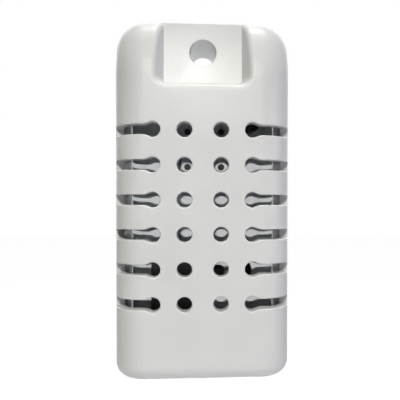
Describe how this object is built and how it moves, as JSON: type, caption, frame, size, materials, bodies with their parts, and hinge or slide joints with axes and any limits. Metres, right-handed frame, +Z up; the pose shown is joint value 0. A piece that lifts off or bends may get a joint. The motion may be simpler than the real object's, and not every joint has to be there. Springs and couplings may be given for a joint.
{
  "type": "wired temperature sensor",
  "caption": "Slim vented wall housing with a screw recess at the top, holding a thermistor on leads and a small circuit board; cable inlet in the foot.",
  "frame": {"origin": "centre of the wall-screw hole in the plane of the wall, at the back of the housing", "axes": "+Z up along the housing, +Y into the wall, -Y out of the front, +X to the right seen from the front"},
  "size_m": [0.029, 0.014, 0.06],
  "materials": {
    "white_abs": "white moulded ABS, fine satin texture",
    "grey_white_abs": "cool white moulded ABS, matt",
    "black_nylon": "black moulded nylon, matt",
    "zinc_steel": "zinc-plated steel",
    "dark_solder_mask": "dark solder mask on glass-epoxy board",
    "black_epoxy": "dipped black epoxy, glossy",
    "black_insulation": "black wire insulation",
    "tinned_copper": "bright tin plate on copper",
    "black_sleeve": "black heat-shrink tube",
    "white_nylon": "natural nylon",
    "tinned_brass": "bright tin plate on brass",
    "solder": "lead-free solder",
    "black_mould_compound": "black epoxy mould compound",
    "tantalum_yellow": "yellow moulded case",
    "tan_ceramic": "fired ceramic",
    "black_glaze": "black overglaze",
    "black_rubber": "black rubber",
    "clear_glue": "clear hot-melt glue, glossy"
  },
  "bodies": {
    "root": {"front_cover": "white_abs", "back_cover": "grey_white_abs", "seat_plugs": "black_nylon", "cover_screws": "zinc_steel", "circuit_board": "dark_solder_mask", "board_screws": "zinc_steel", "thermistor_bead": "black_epoxy", "thermistor_leads": "black_insulation", "joint_drop": "black_epoxy", "link_wires": "tinned_copper", "lead_sleeve": "black_sleeve", "wire_header": "white_nylon", "header_pins": "tinned_brass", "solder_joints": "solder", "microcontroller": "black_mould_compound", "microcontroller_legs": "tinned_copper", "voltage_regulator": "black_mould_compound", "regulator_legs": "tinned_copper", "tank_capacitor": "tantalum_yellow", "ceramic_capacitors": "tan_ceramic", "chip_resistors": "black_glaze", "chip_end_caps": "solder", "cable_grommet": "black_rubber", "glue_dab": "clear_glue"}
  },
  "joints": []
}
